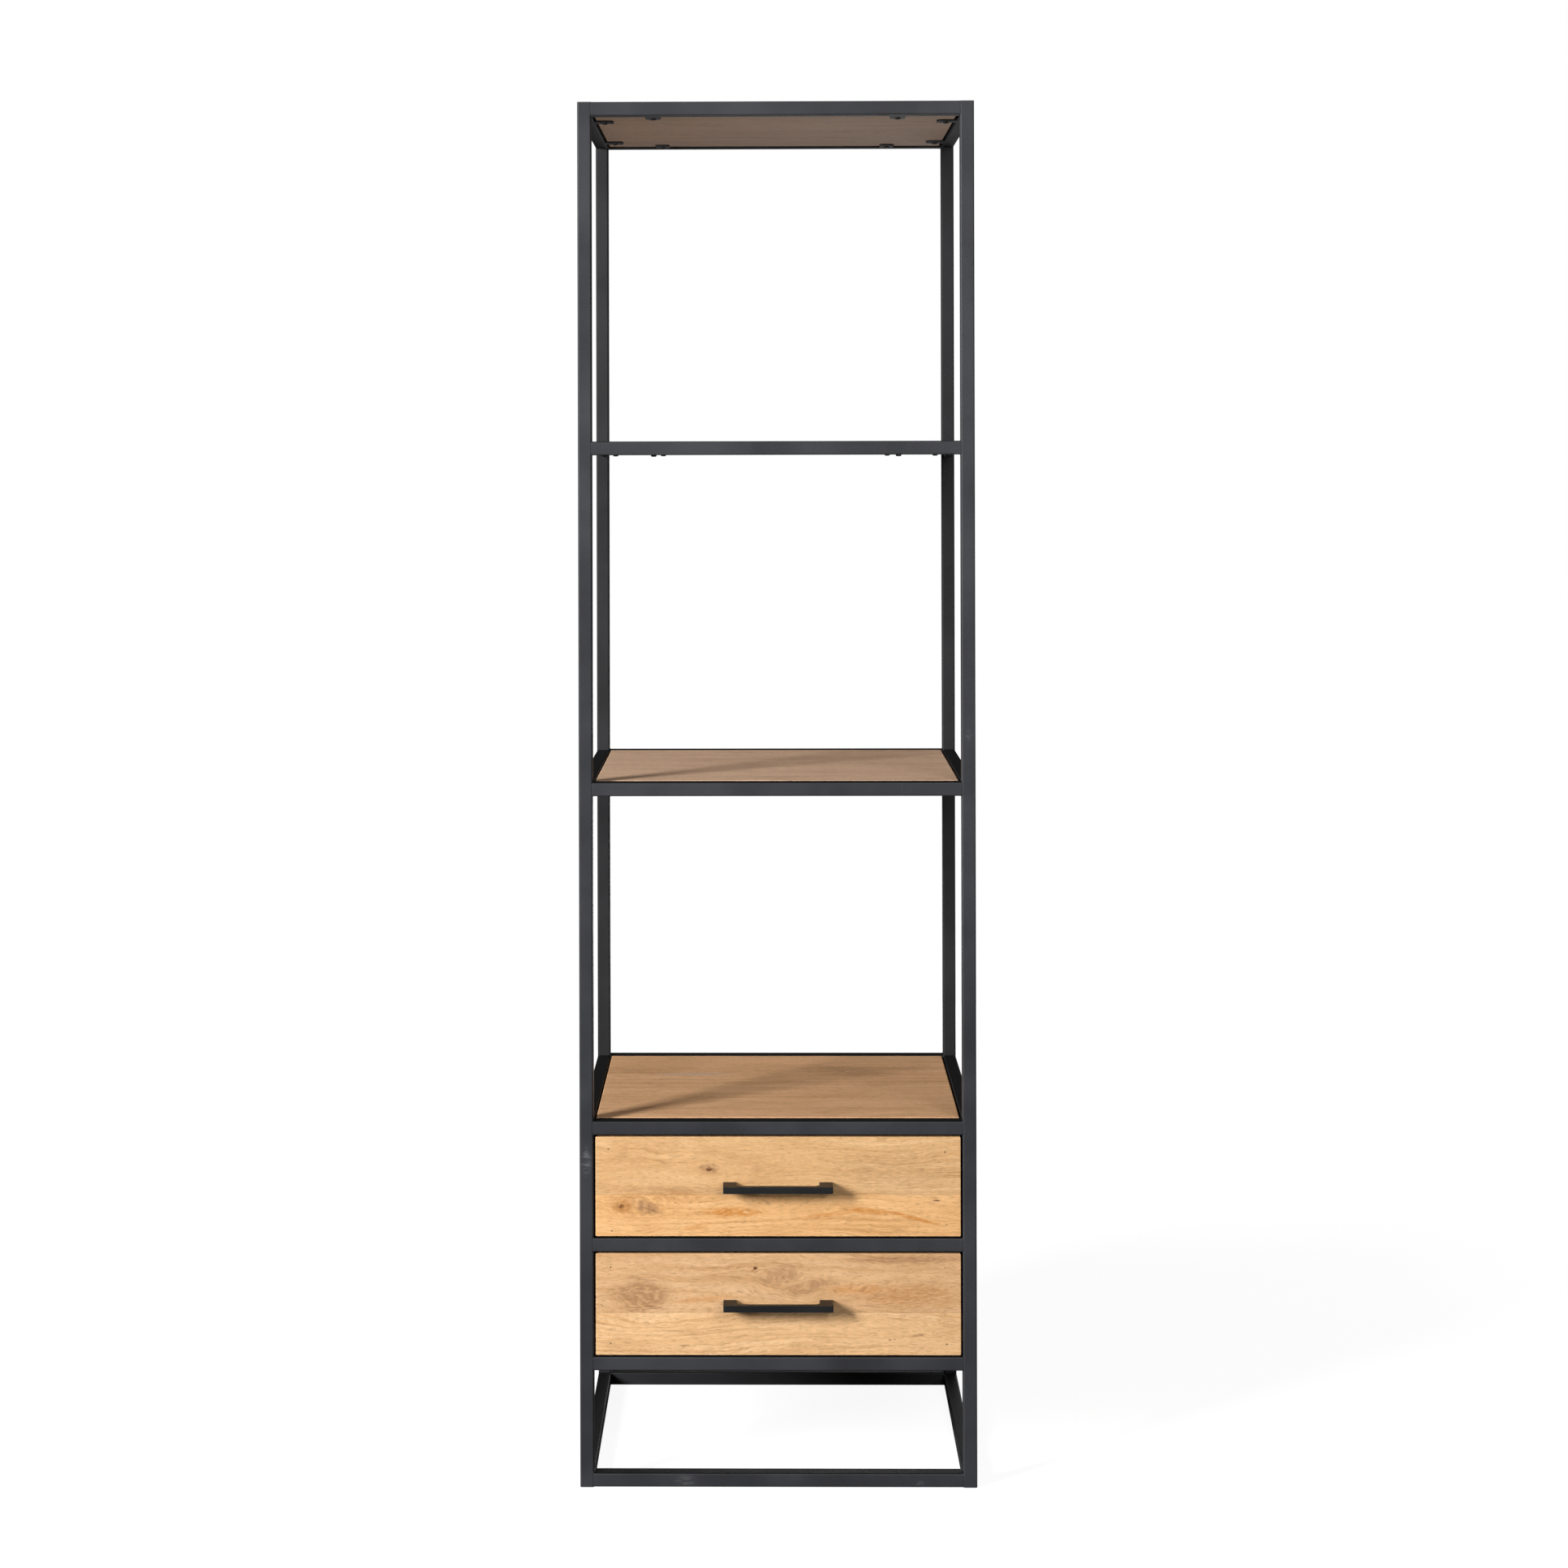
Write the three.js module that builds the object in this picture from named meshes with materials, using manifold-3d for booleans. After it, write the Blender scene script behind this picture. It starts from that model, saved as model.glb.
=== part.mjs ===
// A tall, narrow bookcase: a welded frame of black square steel tube, four wooden shelves let into it,
// and a cabinet at its foot with two wooden drawers on ball-bearing slides.
// Millimetres, +Z up, front towards -Y, origin on the floor at the centre of the whole object's box.
import * as THREE from "three";
import { mergeVertices } from "three/addons/utils/BufferGeometryUtils.js";
import Module from "manifold-3d";

// Frame
const WIDTH = 573;
const DEPTH = 400;
const HEIGHT = 2000;
const TUBE = 20;
const TUBE_WALL = 1.5;
const TUBE_CORNER = 2.5;
const WELD_GAP = 0.2;

// Top edge of each ring of rails above the floor
const RING_LEVELS = {
  top: HEIGHT,
  upper_shelf: 1509.5,
  lower_shelf: 1017,
  cabinet_top: 528,
  cabinet_bottom: 188,
  base: TUBE,
};
const DIVIDER_LEVEL = 359.5;

// Steel tabs, welded inside the rails, that the boards are screwed to
const TAB_WIDTH = 22;
const TAB_REACH = 28;
const TAB_THICKNESS = 2;
const TAB_CORNER = 5;
const TAB_HOLE = 4.5;
const TAB_HOLE_REACH = 15;
const FRONT_TAB_INSET = 108;
const SIDE_TAB_INSET = 80;
const SHELF_RINGS = ["top", "upper_shelf", "lower_shelf", "cabinet_top"];

// Boards let into the frame, flush with its outside
const SEAT_GAP = 0.3;
const PANEL_GAP = 3;
const PANEL_THICKNESS = TUBE - TAB_THICKNESS - SEAT_GAP;

// Drawers
const FRONT_THICKNESS = 20;
const FRONT_RECESS = 2;
const FRONT_SIDE_GAP = 3;
const FRONT_LOWER_GAP = 2;
const FRONT_UPPER_GAP = 3;
const BOX_BOARD = 18;
const BOX_LENGTH = 350;
const BOX_HEIGHT = 115;
const BOX_LIFT = 14;
const BOTTOM_THICKNESS = 6;
const GROOVE_DEPTH = 6;
const GROOVE_LIFT = 8;

// Three-member ball-bearing slides
const SLIDE_THICKNESS = 12.7;
const SLIDE_WALL = 1.2;
const SLIDE_LENGTH = 350;
const SLIDE_MIDDLE_LENGTH = 346;
const SLIDE_SETBACK = 24;
const SLIDE_HEIGHTS = { outer: 45, middle: 37.8, inner: 30.6 };
// How far each member's web and the tips of its flanges stand from the cabinet's side
const SLIDE_REACHES = { outer: [0, 9.6], middle: [3.4, 10.6], inner: [SLIDE_THICKNESS, 6.6] };

// Handles
const HANDLE_WIDTH = 158;
const HANDLE_HEIGHT = 9.5;
const HANDLE_PROJECTION = 25;
const HANDLE_BAR = 7;
const HANDLE_LEG = 19;
const HANDLE_CORNER = 2;
const HANDLE_FILLET = 7;
const HANDLE_RISE = 2;

const ARC_STEPS = 3;
const QUARTER = Math.PI / 2;

// Places that follow from the dimensions above. The handles stand proud of the frame, so the
// frame sits behind the centre of the whole box.
const OVERHANG = HANDLE_PROJECTION + SEAT_GAP - FRONT_RECESS;
const FRAME_FRONT = OVERHANG - (DEPTH + OVERHANG) / 2;
const FRAME_BACK = FRAME_FRONT + DEPTH;
const FRAME_MIDDLE = (FRAME_FRONT + FRAME_BACK) / 2;
const POST_X = (WIDTH - TUBE) / 2;
const INSIDE_WIDTH = WIDTH - 2 * TUBE;
const INSIDE_DEPTH = DEPTH - 2 * TUBE;
const PANEL_INNER_X = WIDTH / 2 - PANEL_THICKNESS;
const BOX_OUTER_X = PANEL_INNER_X - SLIDE_THICKNESS - 2 * SEAT_GAP;
const FRONT_FACE_Y = FRAME_FRONT + FRONT_RECESS;
const BOX_START_Y = FRONT_FACE_Y + FRONT_THICKNESS + SEAT_GAP;

const BLACK_STEEL = { color: 0x35373a, roughness: 0.55, metalness: 0.3 };
const MANGO_WOOD = { color: 0xc9935c, roughness: 0.6, metalness: 0 };
const DRAWER_WOOD = { color: 0xdcab74, roughness: 0.6, metalness: 0 };
const PLYWOOD = { color: 0xc8a97c, roughness: 0.7, metalness: 0 };
const ZINC = { color: 0xb4b8bc, roughness: 0.35, metalness: 0.9 };

const wasm = await Module();
wasm.setup();

const bookcase = new THREE.Group();

function addPiece(name, geometry, finish, place, turn = 0) {
  const piece = new THREE.Mesh(geometry, new THREE.MeshStandardMaterial(finish));
  piece.name = name;
  piece.position.set(...place);
  piece.rotation.z = turn;
  bookcase.add(piece);
}

// Booleans
function solidOf(geometry) {
  const bare = geometry.index ? geometry.toNonIndexed() : geometry.clone();
  bare.deleteAttribute("normal");
  bare.deleteAttribute("uv");
  const merged = mergeVertices(bare, 1e-3);
  const vertProperties = merged.attributes.position.array;
  const triVerts = new Uint32Array(merged.index.array);
  return new wasm.Manifold(new wasm.Mesh({ numProp: 3, vertProperties, triVerts }));
}

function geometryOf(solid) {
  const mesh = solid.getMesh();
  const geometry = new THREE.BufferGeometry();
  geometry.setAttribute("position", new THREE.BufferAttribute(mesh.vertProperties, 3));
  geometry.setIndex(new THREE.BufferAttribute(mesh.triVerts, 1));
  geometry.computeVertexNormals();
  return geometry;
}

// A square about the origin
function square(size) {
  const half = size / 2;
  const corners = [[-half, -half], [half, -half], [half, half], [-half, half]];
  return new THREE.Shape(corners.map(([x, y]) => new THREE.Vector2(x, y)));
}

// A square with round corners about the origin
function roundedSquare(size, corner) {
  const near = size / 2 - corner;
  const outline = new THREE.Shape();
  outline.absarc(near, near, corner, 0, QUARTER);
  outline.absarc(-near, near, corner, QUARTER, 2 * QUARTER);
  outline.absarc(-near, -near, corner, 2 * QUARTER, 3 * QUARTER);
  outline.absarc(near, -near, corner, 3 * QUARTER, 4 * QUARTER);
  return outline;
}

function extrude(shape, depth) {
  return new THREE.ExtrudeGeometry(shape, { depth, bevelEnabled: false, curveSegments: ARC_STEPS });
}

// A hollow tube standing on the origin, open at its foot and closed at its head
function postGeometry() {
  const outside = extrude(roundedSquare(TUBE, TUBE_CORNER), HEIGHT);
  const hollow = extrude(square(TUBE - 2 * TUBE_WALL), HEIGHT);
  hollow.translate(0, 0, -TUBE_WALL);
  return geometryOf(solidOf(outside).subtract(solidOf(hollow)));
}

// A hollow tube along X, open at both ends and centred on the origin
function tubeGeometry(length) {
  const section = roundedSquare(TUBE, TUBE_CORNER);
  section.holes.push(square(TUBE - 2 * TUBE_WALL));
  const tube = extrude(section, length);
  tube.rotateY(QUARTER);
  tube.translate(-length / 2, 0, 0);
  return tube;
}

// A tab that reaches along +Y from inside the tube's wall, with its lower face at z = 0
function tabGeometry() {
  const root = TUBE / 2 - TUBE_WALL;
  const tip = TUBE / 2 + TAB_REACH;
  const side = TAB_WIDTH / 2;
  const outline = new THREE.Shape();
  outline.moveTo(-side, root);
  outline.lineTo(side, root);
  outline.absarc(side - TAB_CORNER, tip - TAB_CORNER, TAB_CORNER, 0, QUARTER);
  outline.absarc(-side + TAB_CORNER, tip - TAB_CORNER, TAB_CORNER, QUARTER, 2 * QUARTER);
  const hole = new THREE.Path();
  hole.absarc(0, TUBE / 2 + TAB_HOLE_REACH, TAB_HOLE / 2, 0, 4 * QUARTER);
  outline.holes.push(hole);
  return extrude(outline, TAB_THICKNESS);
}

// Tabs lie flat under a shelf ("flat"), or hang down or stand up behind an upright board
const TAB_PLACINGS = {
  flat: (tab) => tab.translate(0, 0, -TUBE / 2),
  down: (tab) => tab.translate(0, 0, TUBE / 2 - TAB_THICKNESS).rotateX(-QUARTER),
  up: (tab) => tab.translate(0, 0, -TUBE / 2).rotateX(QUARTER),
};

// A rail along X with its inner side towards +Y, and two tabs for each placing
function railGeometry(length, tabInset, placings) {
  const tube = tubeGeometry(length);
  if (placings.length === 0) return tube;
  const tabX = length / 2 + TUBE - tabInset;
  let rail = solidOf(tube);
  for (const placing of placings) {
    for (const side of [-1, 1]) {
      const tab = TAB_PLACINGS[placing](tabGeometry());
      rail = rail.add(solidOf(tab.translate(side * tabX, 0, 0)));
    }
  }
  return geometryOf(rail);
}

function addPosts() {
  const corners = { left: -POST_X, right: POST_X };
  const rows = { front: FRAME_FRONT + TUBE / 2, back: FRAME_BACK - TUBE / 2 };
  for (const [row, y] of Object.entries(rows)) {
    for (const [side, x] of Object.entries(corners)) {
      addPiece(`${row}_${side}_post`, postGeometry(), BLACK_STEEL, [x, y, 0]);
    }
  }
}

function tabPlacings(ring, side) {
  const placings = SHELF_RINGS.includes(ring) ? ["flat"] : [];
  if (side !== "front" && ring === "cabinet_top") placings.push("down");
  if (side !== "front" && ring === "cabinet_bottom") placings.push("up");
  return placings;
}

function addRings() {
  const longRail = INSIDE_WIDTH - 2 * WELD_GAP;
  const sideRail = INSIDE_DEPTH - 2 * WELD_GAP;
  const sides = {
    front: [longRail, FRONT_TAB_INSET, 0, FRAME_FRONT + TUBE / 2, 0],
    back: [longRail, FRONT_TAB_INSET, 0, FRAME_BACK - TUBE / 2, 2 * QUARTER],
    left: [sideRail, SIDE_TAB_INSET, -POST_X, FRAME_MIDDLE, -QUARTER],
    right: [sideRail, SIDE_TAB_INSET, POST_X, FRAME_MIDDLE, QUARTER],
  };
  for (const [ring, level] of Object.entries(RING_LEVELS)) {
    for (const [side, [length, inset, x, y, turn]] of Object.entries(sides)) {
      const rail = railGeometry(length, inset, tabPlacings(ring, side));
      addPiece(`${ring}_${side}_rail`, rail, BLACK_STEEL, [x, y, level - TUBE / 2], turn);
    }
  }
  const divider = tubeGeometry(longRail);
  const place = [0, FRAME_FRONT + TUBE / 2, DIVIDER_LEVEL - TUBE / 2];
  addPiece("drawer_divider_rail", divider, BLACK_STEEL, place);
}

function addPanels() {
  const long = INSIDE_WIDTH - 2 * PANEL_GAP;
  const short = INSIDE_DEPTH - 2 * PANEL_GAP;
  for (const ring of SHELF_RINGS) {
    const z = RING_LEVELS[ring] - PANEL_THICKNESS / 2;
    const board = new THREE.BoxGeometry(long, short, PANEL_THICKNESS);
    addPiece(`${ring}_panel`, board, MANGO_WOOD, [0, FRAME_MIDDLE, z]);
  }
  const low = RING_LEVELS.cabinet_bottom + PANEL_GAP;
  const high = RING_LEVELS.cabinet_top - TUBE - PANEL_GAP;
  const middle = (low + high) / 2;
  const sideX = (WIDTH - PANEL_THICKNESS) / 2;
  for (const [side, x] of [["left", -sideX], ["right", sideX]]) {
    const board = new THREE.BoxGeometry(PANEL_THICKNESS, short, high - low);
    addPiece(`cabinet_${side}_panel`, board, MANGO_WOOD, [x, FRAME_MIDDLE, middle]);
  }
  const back = new THREE.BoxGeometry(long, PANEL_THICKNESS, high - low);
  addPiece("cabinet_back_panel", back, MANGO_WOOD, [0, FRAME_BACK - PANEL_THICKNESS / 2, middle]);
}

// A bow handle seen from above: legs on y = 0, bar towards -Y
function handleGeometry() {
  const half = HANDLE_WIDTH / 2;
  const legInside = half - HANDLE_LEG;
  const barBack = HANDLE_BAR - HANDLE_PROJECTION;
  const outline = new THREE.Shape();
  outline.moveTo(half, 0);
  outline.lineTo(legInside, 0);
  outline.absarc(
    legInside - HANDLE_FILLET, barBack + HANDLE_FILLET, HANDLE_FILLET, 0, -QUARTER, true,
  );
  outline.absarc(
    -legInside + HANDLE_FILLET, barBack + HANDLE_FILLET, HANDLE_FILLET, -QUARTER, -2 * QUARTER, true,
  );
  outline.lineTo(-legInside, 0);
  outline.lineTo(-half, 0);
  outline.absarc(
    -half + HANDLE_CORNER, HANDLE_CORNER - HANDLE_PROJECTION, HANDLE_CORNER, 2 * QUARTER, 3 * QUARTER,
  );
  outline.absarc(
    half - HANDLE_CORNER, HANDLE_CORNER - HANDLE_PROJECTION, HANDLE_CORNER, 3 * QUARTER, 4 * QUARTER,
  );
  return extrude(outline, HANDLE_HEIGHT).translate(0, 0, -HANDLE_HEIGHT / 2);
}

// A C-channel along Y, starting at y = 0, with its web at x = web and its flanges ending at x = tip
function channelGeometry(web, tip, height, length) {
  const towards = Math.sign(tip - web);
  const inside = web + towards * SLIDE_WALL;
  const edge = height / 2;
  const lip = edge - SLIDE_WALL;
  const corners = [
    [web, -edge], [tip, -edge], [tip, -lip], [inside, -lip],
    [inside, lip], [tip, lip], [tip, edge], [web, edge],
  ];
  const section = new THREE.Shape(corners.map(([x, y]) => new THREE.Vector2(x, y)));
  const channel = extrude(section, length);
  return channel.rotateX(QUARTER).translate(0, length, 0);
}

// The cabinet side of each slide is at x = 0 and the drawer side at x = SLIDE_THICKNESS
function addSlide(prefix, side, z) {
  const start = PANEL_INNER_X - SEAT_GAP;
  const front = FRAME_FRONT + SLIDE_SETBACK;
  const spare = (SLIDE_LENGTH - SLIDE_MIDDLE_LENGTH) / 2;
  const members = {
    outer: [SLIDE_REACHES.outer, SLIDE_LENGTH, 0],
    middle: [SLIDE_REACHES.middle, SLIDE_MIDDLE_LENGTH, spare],
    inner: [SLIDE_REACHES.inner, SLIDE_LENGTH, 0],
  };
  for (const [member, [reaches, length, offset]] of Object.entries(members)) {
    const [webX, tipX] = reaches.map((x) => side * (start - x));
    const channel = channelGeometry(webX, tipX, SLIDE_HEIGHTS[member], length);
    const where = side < 0 ? "left" : "right";
    addPiece(`${prefix}_${where}_slide_${member}`, channel, ZINC, [0, front + offset, z]);
  }
}

// One drawer in the opening between two levels: front, two sides, back, bottom, handle and slides
function addDrawer(prefix, openingLow, openingHigh) {
  const frontLow = openingLow + FRONT_LOWER_GAP;
  const frontHigh = openingHigh - FRONT_UPPER_GAP;
  const frontMiddle = (frontLow + frontHigh) / 2;
  const boxLow = openingLow + BOX_LIFT;
  const boxMiddle = boxLow + BOX_HEIGHT / 2;
  const boxMiddleY = BOX_START_Y + BOX_LENGTH / 2;
  const backY = BOX_START_Y + BOX_LENGTH - BOX_BOARD / 2;
  const insideHalf = BOX_OUTER_X - BOX_BOARD;

  // The groove is a little larger than the bottom that slides into it
  const bottomWidth = 2 * (insideHalf + GROOVE_DEPTH - SEAT_GAP);
  const bottomFront = FRONT_FACE_Y + FRONT_THICKNESS - GROOVE_DEPTH + SEAT_GAP;
  const bottomBack = backY - BOX_BOARD / 2 + GROOVE_DEPTH - SEAT_GAP;
  const bottomZ = boxLow + GROOVE_LIFT + BOTTOM_THICKNESS / 2;
  const groove = new THREE.BoxGeometry(
    bottomWidth + 2 * SEAT_GAP,
    bottomBack - bottomFront + 2 * SEAT_GAP,
    BOTTOM_THICKNESS + 2 * SEAT_GAP,
  );
  groove.translate(0, (bottomFront + bottomBack) / 2, bottomZ);

  function addGrooved(name, size, place, finish) {
    const board = solidOf(new THREE.BoxGeometry(...size).translate(...place));
    addPiece(`${prefix}_${name}`, geometryOf(board.subtract(solidOf(groove))), finish, [0, 0, 0]);
  }

  const frontSize = [INSIDE_WIDTH - 2 * FRONT_SIDE_GAP, FRONT_THICKNESS, frontHigh - frontLow];
  addGrooved("front", frontSize, [0, FRONT_FACE_Y + FRONT_THICKNESS / 2, frontMiddle], DRAWER_WOOD);
  for (const [side, sign] of [["left_side", -1], ["right_side", 1]]) {
    const place = [sign * (BOX_OUTER_X - BOX_BOARD / 2), boxMiddleY, boxMiddle];
    addGrooved(side, [BOX_BOARD, BOX_LENGTH, BOX_HEIGHT], place, DRAWER_WOOD);
  }
  const backSize = [2 * (insideHalf - SEAT_GAP), BOX_BOARD, BOX_HEIGHT];
  addGrooved("back", backSize, [0, backY, boxMiddle], DRAWER_WOOD);

  const bottom = new THREE.BoxGeometry(bottomWidth, bottomBack - bottomFront, BOTTOM_THICKNESS);
  const bottomPlace = [0, (bottomFront + bottomBack) / 2, bottomZ];
  addPiece(`${prefix}_bottom`, bottom, PLYWOOD, bottomPlace);

  const handlePlace = [0, FRONT_FACE_Y - SEAT_GAP, frontMiddle + HANDLE_RISE];
  addPiece(`${prefix}_handle`, handleGeometry(), BLACK_STEEL, handlePlace);
  addSlide(prefix, -1, boxMiddle);
  addSlide(prefix, 1, boxMiddle);
}

addPosts();
addRings();
addPanels();
addDrawer("upper_drawer", DIVIDER_LEVEL, RING_LEVELS.cabinet_top - TUBE);
addDrawer("lower_drawer", RING_LEVELS.cabinet_bottom, DIVIDER_LEVEL - TUBE);

export default bookcase;
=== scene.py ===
import math
import random

import bmesh
import bpy
from mathutils import Matrix, Vector


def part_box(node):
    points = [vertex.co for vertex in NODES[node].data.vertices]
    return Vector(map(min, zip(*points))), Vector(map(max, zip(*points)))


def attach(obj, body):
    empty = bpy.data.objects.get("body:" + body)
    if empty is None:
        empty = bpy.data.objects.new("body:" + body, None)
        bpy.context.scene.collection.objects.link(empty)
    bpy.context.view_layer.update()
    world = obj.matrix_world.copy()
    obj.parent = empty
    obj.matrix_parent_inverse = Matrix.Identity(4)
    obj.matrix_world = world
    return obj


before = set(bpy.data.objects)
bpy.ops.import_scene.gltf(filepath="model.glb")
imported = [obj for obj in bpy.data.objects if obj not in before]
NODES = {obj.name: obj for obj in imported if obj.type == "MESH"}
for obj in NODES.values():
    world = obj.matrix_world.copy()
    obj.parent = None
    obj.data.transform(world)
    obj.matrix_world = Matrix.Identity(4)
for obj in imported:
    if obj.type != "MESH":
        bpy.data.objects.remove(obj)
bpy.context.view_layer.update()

SEED = 7

FRAME_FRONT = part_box("front_left_post")[0].y
LEFT_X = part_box("front_left_post")[0].x
RIGHT_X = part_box("front_right_post")[1].x
FRAME_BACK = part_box("back_left_post")[1].y
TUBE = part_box("base_front_rail")[1].z

# Where the tabs' holes are along the rails, from the middle, and how far in from the tube
TAB_ALONG_X = 0.1783
TAB_ALONG_Y = 0.1198
TAB_REACH = 0.015
# The handle's screws are this far in from its ends
HANDLE_HOLE = 0.0095
SLIDE_WALL = 0.0012

RINGS = ("top", "upper_shelf", "lower_shelf", "cabinet_top", "cabinet_bottom", "base")
DRAWERS = ("upper_drawer", "lower_drawer")

# Camera, seen from the middle of the frame's front
CAMERA_DISTANCE = 3.4754
CAMERA_HEIGHT = 1.4956
CAMERA_X = -0.0147
CAMERA_YAW = 0.56
CAMERA_ROLL = 0.14
LENS = 55.31
SENSOR = 36.0
SHIFT_X = 0.0265
SHIFT_Y = -0.2125

# Softboxes: place, size and power. y counts from the frame's front, or from its back for the last one
KEY = ((-3.76, -2.6, 2.27), (1.05, 1.6), 345.0)
FILL = ((1.2, -2.6, 2.2), (1.3, 1.3), 30.0)
BACK = ((0.8, 2.6, 0.35), (2.2, 0.5), 14.0)

# The room's light on things, and the way to its brightest part: overhead and in front
ROOM_BRIGHT = 0.15
ROOM_DIM = 0.015
ROOM_TOWARDS = (0.0, -0.5, 0.866)

# The floor: its half size, how far it lies under the frame, the light it gives back to things, and what
# the camera sees: a glow that grows from near the object outwards, and a part that takes shadow
FLOOR_HALF = 20.0
FLOOR_DROP = 0.0005
FLOOR_BOUNCE = 0.115
FLOOR_SHADED = 0.20
GLOW_NEAR, GLOW_FAR = 0.92, 1.0
GLOW_START, GLOW_END = 0.8, 4.0


def link(obj):
    bpy.context.scene.collection.objects.link(obj)
    return obj


# ---------------------------------------------------------------- shader helper

class Shaders:
    """Short calls for the nodes of one tree. They give an output, which the next call can take."""

    def __init__(self, owner):
        owner.use_nodes = True
        self.tree = owner.node_tree
        self.tree.nodes.clear()

    def set(self, socket, value):
        """Puts a number, a colour or another node's output on a socket."""
        if isinstance(value, bpy.types.NodeSocket):
            self.tree.links.new(value, socket)
        else:
            socket.default_value = value

    def node(self, kind, *values, **named):
        """Adds a node and sets its inputs, in order or by name with _ for a space."""
        made = self.tree.nodes.new(kind)
        for socket, value in zip(made.inputs, values):
            self.set(socket, value)
        for name, value in named.items():
            self.set(made.inputs[name.replace("_", " ")], value)
        return made

    def math(self, operation, *values, clamp=False):
        made = self.node("ShaderNodeMath", *values)
        made.operation = operation
        made.use_clamp = clamp
        return made.outputs[0]

    def vector(self, operation, *values):
        made = self.node("ShaderNodeVectorMath", *values)
        made.operation = operation
        return made.outputs["Value" if operation in ("LENGTH", "DOT_PRODUCT") else "Vector"]

    def fade(self, value, start, end, low=0.0, high=1.0):
        """low where value is under start, high where it is over end, smooth between."""
        made = self.node("ShaderNodeMapRange", Value=value, From_Min=start, From_Max=end,
                         To_Min=low, To_Max=high)
        made.interpolation_type = "SMOOTHSTEP"
        return made.outputs["Result"]

    def shader(self, kind, grey, **named):
        return self.node(kind, Color=(grey, grey, grey, 1.0), **named).outputs[0]

    def for_camera(self, others, camera):
        """One shader for what the camera sees, another for the light that falls on things."""
        seen = self.node("ShaderNodeLightPath").outputs["Is Camera Ray"]
        return self.node("ShaderNodeMixShader", seen, others, camera).outputs[0]


class Finish(Shaders):
    """A material with a Principled surface."""

    def __init__(self, name, roughness, metallic=0.0):
        self.material = bpy.data.materials.new(name)
        super().__init__(self.material)
        self.surface = self.node("ShaderNodeBsdfPrincipled", Roughness=roughness, Metallic=metallic)
        self.node("ShaderNodeOutputMaterial", Surface=self.surface.outputs[0])
        self.place = self.node("ShaderNodeTexCoord").outputs["Object"]

    def paint(self, **inputs):
        for name, value in inputs.items():
            self.set(self.surface.inputs[name.replace("_", " ")], value)

    def split(self, vector):
        return self.node("ShaderNodeSeparateXYZ", vector).outputs

    def join(self, x, y, z):
        return self.node("ShaderNodeCombineXYZ", x, y, z).outputs[0]

    def noise(self, vector, scale, detail=3.0, roughness=0.5):
        stretched = self.vector("MULTIPLY", vector, scale)
        return self.node("ShaderNodeTexNoise", Vector=stretched, Scale=1.0, Detail=detail,
                         Roughness=roughness).outputs["Fac"]

    def white_noise(self, value):
        made = self.node("ShaderNodeTexWhiteNoise")
        made.noise_dimensions = "1D"
        self.set(made.inputs["W"], value)
        return made.outputs["Value"], made.outputs["Color"]

    def band(self, value, low, high):
        """0 below low, 1 above high, smooth between. The other way round where low is above high."""
        if low > high:
            return self.fade(value, high, low, 1.0, 0.0)
        return self.fade(value, low, high)

    def ramp(self, value, *stops):
        made = self.node("ShaderNodeValToRGB", value)
        elements = made.color_ramp.elements
        while len(elements) < len(stops):
            elements.new(0.5)
        for element, (position, colour) in zip(elements, stops):
            element.position = position
            element.color = (*colour, 1.0)
        return made.outputs["Color"]

    def mix(self, factor, first, second, blend="MIX"):
        made = self.node("ShaderNodeMix")
        made.data_type = "RGBA"
        made.blend_type = blend
        self.set(made.inputs[0], factor)
        for socket, value in zip(made.inputs[6:8], (first, second)):
            self.set(socket, (*value, 1.0) if isinstance(value, tuple) and len(value) == 3 else value)
        return made.outputs[2]

    def normal(self):
        return self.node("ShaderNodeNewGeometry").outputs["Normal"]

    def edges(self, radius):
        """1 along convex and concave edges, 0 on flat faces."""
        made = self.node("ShaderNodeBevel", Radius=radius)
        made.samples = 4
        return self.band(self.vector("DOT_PRODUCT", made.outputs[0], self.normal()), 0.995, 0.9)

    def upward(self):
        """1 on faces that look up, 0 on upright ones."""
        return self.band(self.split(self.normal())["Z"], 0.5, 0.9)

    def bump(self, height, distance, under=None):
        made = self.node("ShaderNodeBump", Height=height, Distance=distance, Strength=1.0)
        if under is not None:
            self.set(made.inputs["Normal"], under)
        return made.outputs[0]


# ---------------------------------------------------------------- finishes

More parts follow.
